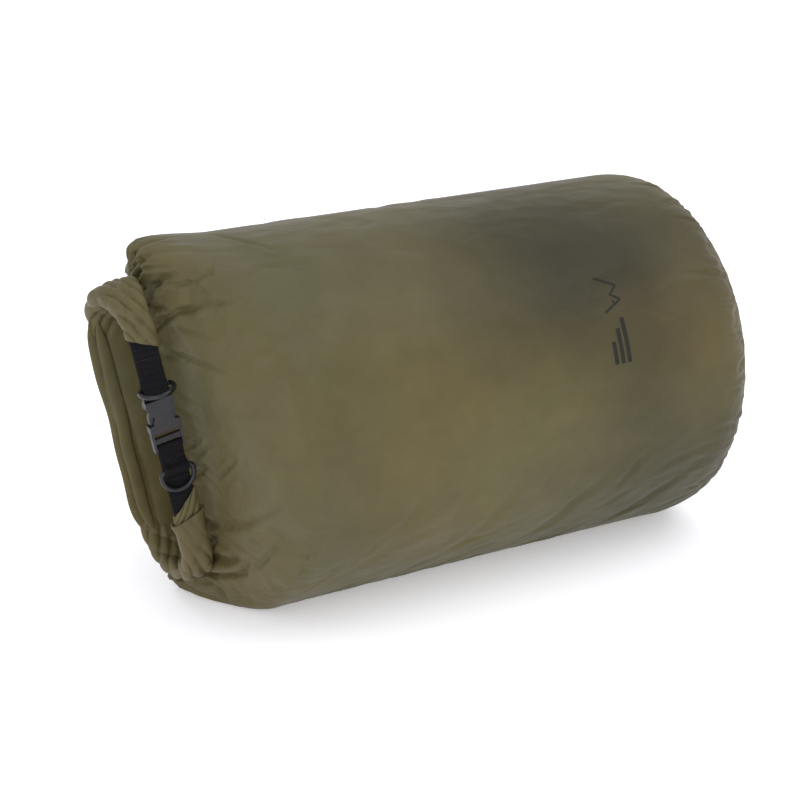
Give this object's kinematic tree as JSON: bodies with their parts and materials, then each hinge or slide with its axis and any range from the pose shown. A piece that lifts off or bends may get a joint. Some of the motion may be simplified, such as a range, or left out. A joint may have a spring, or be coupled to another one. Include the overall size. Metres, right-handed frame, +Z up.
{
  "type": "roll-top stuff sack",
  "caption": "Filled cylindrical coated-fabric sack lying on its side, mouth rolled down and buckled into a loop with webbing, side-release buckle and D-rings.",
  "frame": {"origin": "on the ground under the middle of the sack's bounding box", "axes": "+X from the mouth to the base along the sack, +Z up, buckle towards -Y"},
  "size_m": [0.5346, 0.3, 0.2934],
  "materials": {
    "coated_fabric": "satin, polyurethane-coated nylon",
    "seam_tape": "smooth, heat-sealed",
    "webbing": "matt, ribbed weave",
    "thread": "matt",
    "buckle_plastic": "fine moulded texture",
    "ring_plastic": "smooth",
    "stiffener_plastic": "smooth"
  },
  "bodies": {
    "root": {"body_panel": "coated_fabric", "base_panel": "coated_fabric", "base_seam_tape": "seam_tape", "side_seam_tape": "seam_tape", "mouth_roll": "coated_fabric", "stiffener_strip": "stiffener_plastic", "hem_webbing": "webbing", "upper_roll_arm": "coated_fabric", "upper_strap": "webbing", "upper_strap_stitching": "thread", "buckle_socket": "buckle_plastic"},
    "plug_end": {"buckle_plug": "buckle_plastic", "lower_strap": "webbing", "lower_strap_stitching": "thread", "lower_roll_arm": "coated_fabric"},
    "prong_left": {"plug_prong_left": "buckle_plastic"},
    "prong_right": {"plug_prong_right": "buckle_plastic"},
    "upper_ring": {"upper_d_ring": "ring_plastic"},
    "lower_ring": {"lower_d_ring": "ring_plastic"}
  },
  "joints": [
    {"name": "buckle_release", "type": "slide", "parent": "root", "child": "plug_end", "axis": [0.1908, 0, -0.9816], "range_m": [0, 0.022]},
    {"name": "prong_left_squeeze", "type": "hinge", "parent": "plug_end", "child": "prong_left", "pos_m": [-0.23372, -0.05, 0.17307], "axis": [0, 1, 0], "range_deg": [0, 8], "stiffness_Nm_per_rad": 0.4},
    {"name": "prong_right_squeeze", "type": "hinge", "parent": "plug_end", "child": "prong_right", "pos_m": [-0.2188, -0.05, 0.17597], "axis": [0, -1, 0], "range_deg": [0, 8], "stiffness_Nm_per_rad": 0.4},
    {"name": "upper_ring_swing", "type": "hinge", "parent": "root", "child": "upper_ring", "pos_m": [-0.23196, -0.05, 0.20385], "axis": [-0.9816, 0, -0.1908], "range_deg": [-30, 70]},
    {"name": "lower_ring_swing", "type": "hinge", "parent": "plug_end", "child": "lower_ring", "pos_m": [-0.21893, -0.05398, 0.13683], "axis": [-0.9816, 0, -0.1908], "range_deg": [0, 170]}
  ]
}
